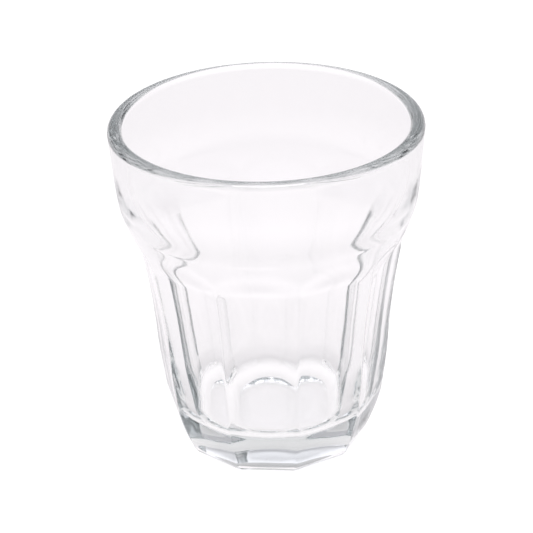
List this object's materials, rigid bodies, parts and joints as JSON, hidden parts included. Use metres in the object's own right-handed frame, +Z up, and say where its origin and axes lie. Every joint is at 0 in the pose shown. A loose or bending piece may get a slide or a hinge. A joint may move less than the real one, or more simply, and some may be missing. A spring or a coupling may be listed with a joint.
{
  "type": "cortado glass",
  "caption": "Small clear pressed-glass tumbler for a cortado: round rolled lip and flared band over a faceted waist, thick base and chamfered foot.",
  "frame": {"origin": "centre of the resting face, on the table", "axes": "+Z up along the axis of the glass; -Y looks out of the middle of one facet; +X to the right of that facet"},
  "size_m": [0.0724, 0.0724, 0.081],
  "materials": {
    "clear_glass": "clear fire-polished soda-lime glass"
  },
  "bodies": {
    "root": {"tumbler": "clear_glass"}
  },
  "joints": []
}
